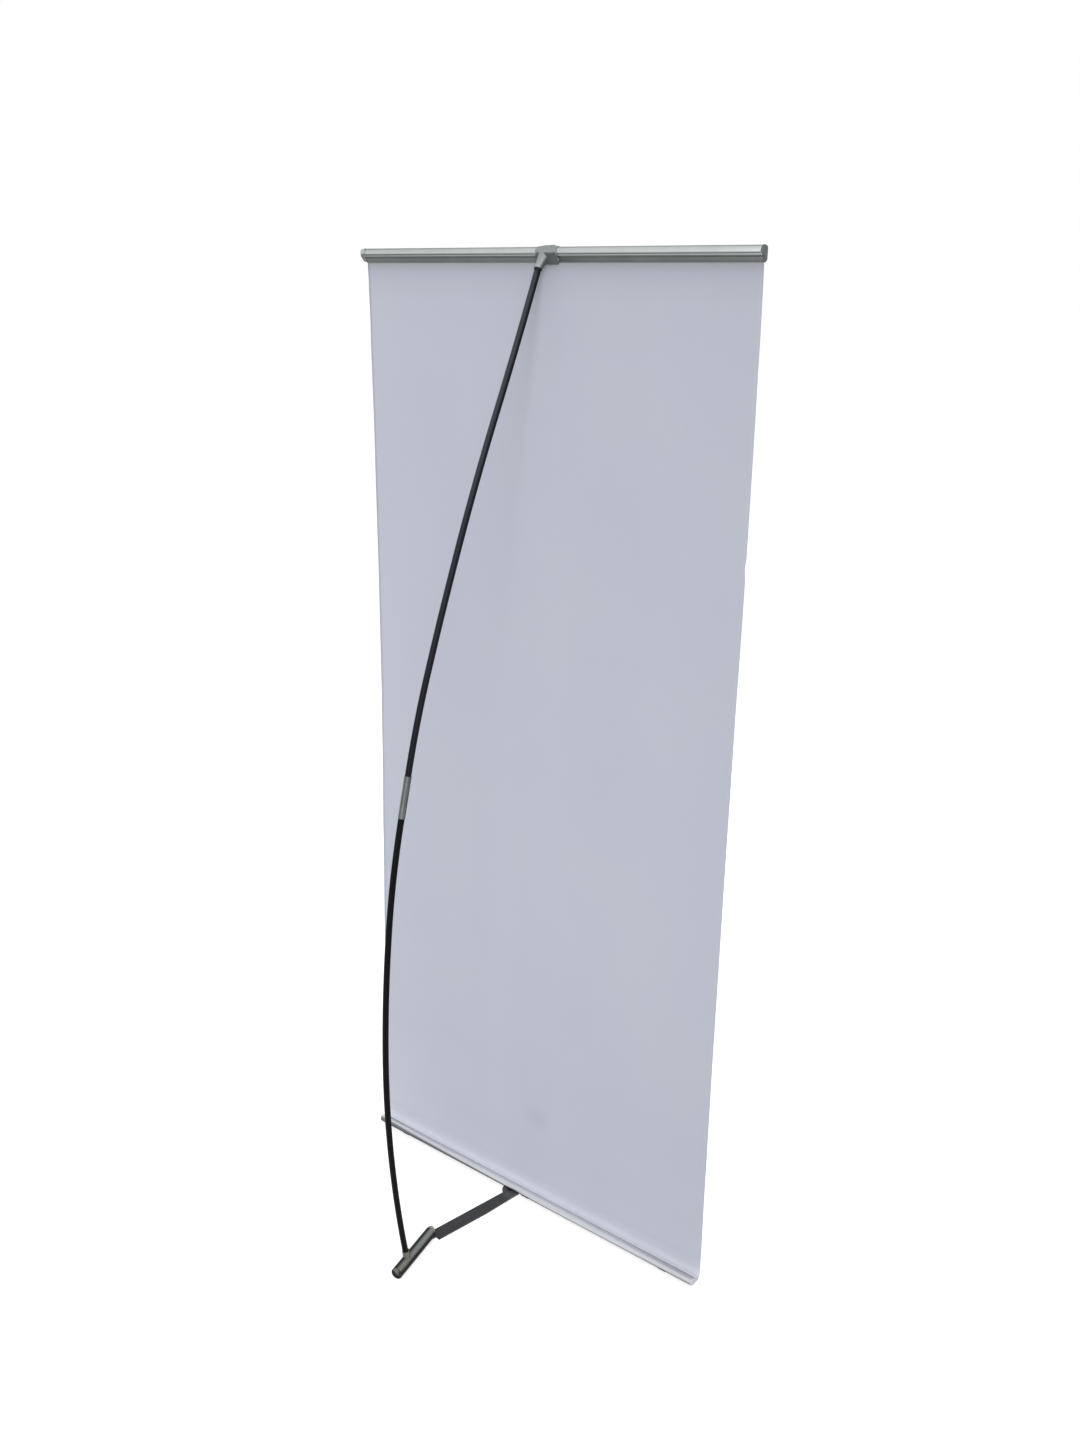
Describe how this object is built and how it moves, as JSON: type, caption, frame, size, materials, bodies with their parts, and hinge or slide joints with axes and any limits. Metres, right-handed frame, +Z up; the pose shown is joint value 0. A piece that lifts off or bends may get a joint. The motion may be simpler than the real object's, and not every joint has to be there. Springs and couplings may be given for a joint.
{
  "type": "l-banner stand",
  "caption": "Free-standing l-banner stand: a tall plain sheet held by clamp rails at the floor and at the top, kept taut by a bowed pole on a swivelling foot behind it.",
  "frame": {"origin": "on the floor at the middle of the bottom rail's length, inside the middle pad's underside", "axes": "+Z up, +Y to the rear where the foot and the pole are, +X along the rails, so the sheet's plain front looks along -Y"},
  "size_m": [0.8124, 0.3622, 1.814],
  "materials": {
    "rail_aluminium": "satin anodised",
    "connector_grey": "smooth moulded, slightly glossy",
    "cap_grey": "fine matte moulded",
    "cap_dark": "fine matte moulded",
    "strip_rubber": "soft matte",
    "pad_rubber": "soft matte",
    "bar_paint": "satin powder coat",
    "tube_steel": "dull satin",
    "zinc_steel": "zinc plated",
    "nose_beige": "fine matte moulded",
    "plug_black": "fine matte moulded",
    "pole_black": "semi-gloss black anodised",
    "ferrule_steel": "satin",
    "sheet_white": "plain matte film"
  },
  "bodies": {
    "stand": {"bottom_rail": "rail_aluminium", "bottom_grip_strip": "strip_rubber", "bottom_cap_left": "cap_grey", "bottom_cap_right": "cap_grey", "rail_pads": "pad_rubber", "pivot_plate": "zinc_steel", "swivel_rivet": "zinc_steel", "swivel_washer": "zinc_steel", "banner_sheet": "sheet_white", "top_rail": "rail_aluminium", "top_grip_strip": "strip_rubber", "top_cap_left": "cap_grey", "top_cap_right": "cap_dark", "top_connector": "connector_grey", "pole_collar": "plug_black"},
    "foot": {"foot_bar": "bar_paint"},
    "base_tube": {"base_tube": "tube_steel", "tube_nose_plug": "nose_beige", "tube_rear_plug": "plug_black", "tube_pivot_screw": "zinc_steel", "base_socket": "tube_steel", "pole_lower": "pole_black", "pole_ferrule": "ferrule_steel", "pole_upper": "pole_black"},
    "bottom_jaw": {"bottom_jaw": "rail_aluminium"},
    "top_jaw_left": {"top_jaw_left": "rail_aluminium"},
    "top_jaw_right": {"top_jaw_right": "rail_aluminium"}
  },
  "joints": [
    {"name": "foot_swivel", "type": "hinge", "parent": "stand", "child": "foot", "pos_m": [0.033, 0.005, 0.004], "axis": [0, 0, 1], "range_deg": [-66, 0]},
    {"name": "tube_swivel", "type": "hinge", "parent": "foot", "child": "base_tube", "pos_m": [0.0659, 0.21413, 0.004], "axis": [0, 0, 1], "range_deg": [-24, 0]},
    {"name": "bottom_jaw_hinge", "type": "hinge", "parent": "stand", "child": "bottom_jaw", "pos_m": [0, -0.0005, 0.014], "axis": [-1, 0, 0], "range_deg": [0, 45]},
    {"name": "top_jaw_left_hinge", "type": "hinge", "parent": "stand", "child": "top_jaw_left", "pos_m": [0.2125, -0.006, 1.7983], "axis": [1, 0, 0], "range_deg": [0, 45]},
    {"name": "top_jaw_right_hinge", "type": "hinge", "parent": "stand", "child": "top_jaw_right", "pos_m": [-0.2125, -0.006, 1.7983], "axis": [1, 0, 0], "range_deg": [0, 45]}
  ]
}
